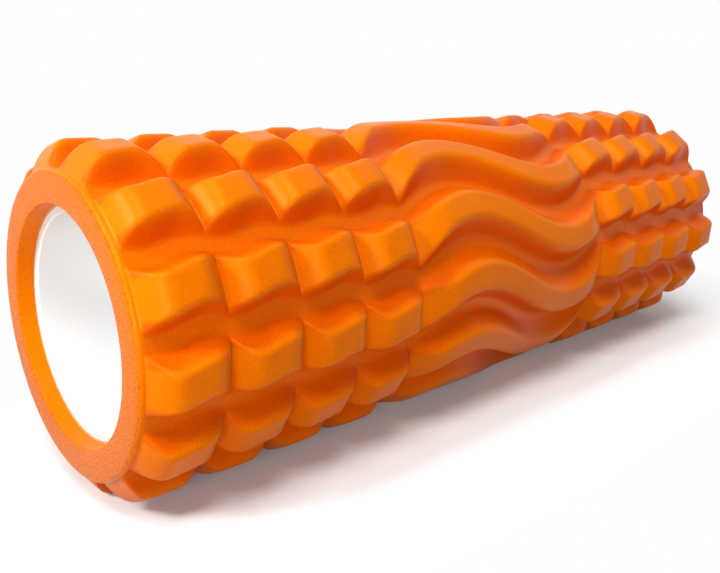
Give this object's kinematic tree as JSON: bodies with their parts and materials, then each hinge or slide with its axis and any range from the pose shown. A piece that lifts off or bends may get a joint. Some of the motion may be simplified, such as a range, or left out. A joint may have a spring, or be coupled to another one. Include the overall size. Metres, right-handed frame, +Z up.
{
  "type": "foam roller",
  "caption": "Hollow massage roller: a rigid white tube inside an orange foam sleeve moulded with rows of raised blocks at both ends and wavy ribs in the middle.",
  "frame": {"origin": "middle of the roller's axis", "axes": "+X along the roller's axis, +Z up, with one row of the pattern pointing straight down at -Z"},
  "size_m": [0.33, 0.1162, 0.1156],
  "materials": {
    "foam": "matt moulded closed-cell EVA foam with a fine skin",
    "core": "smooth white extruded PVC",
    "bond": "dried contact adhesive"
  },
  "bodies": {
    "root": {"foam_sleeve": "foam", "core_tube": "core", "bond_film": "bond"}
  },
  "joints": []
}
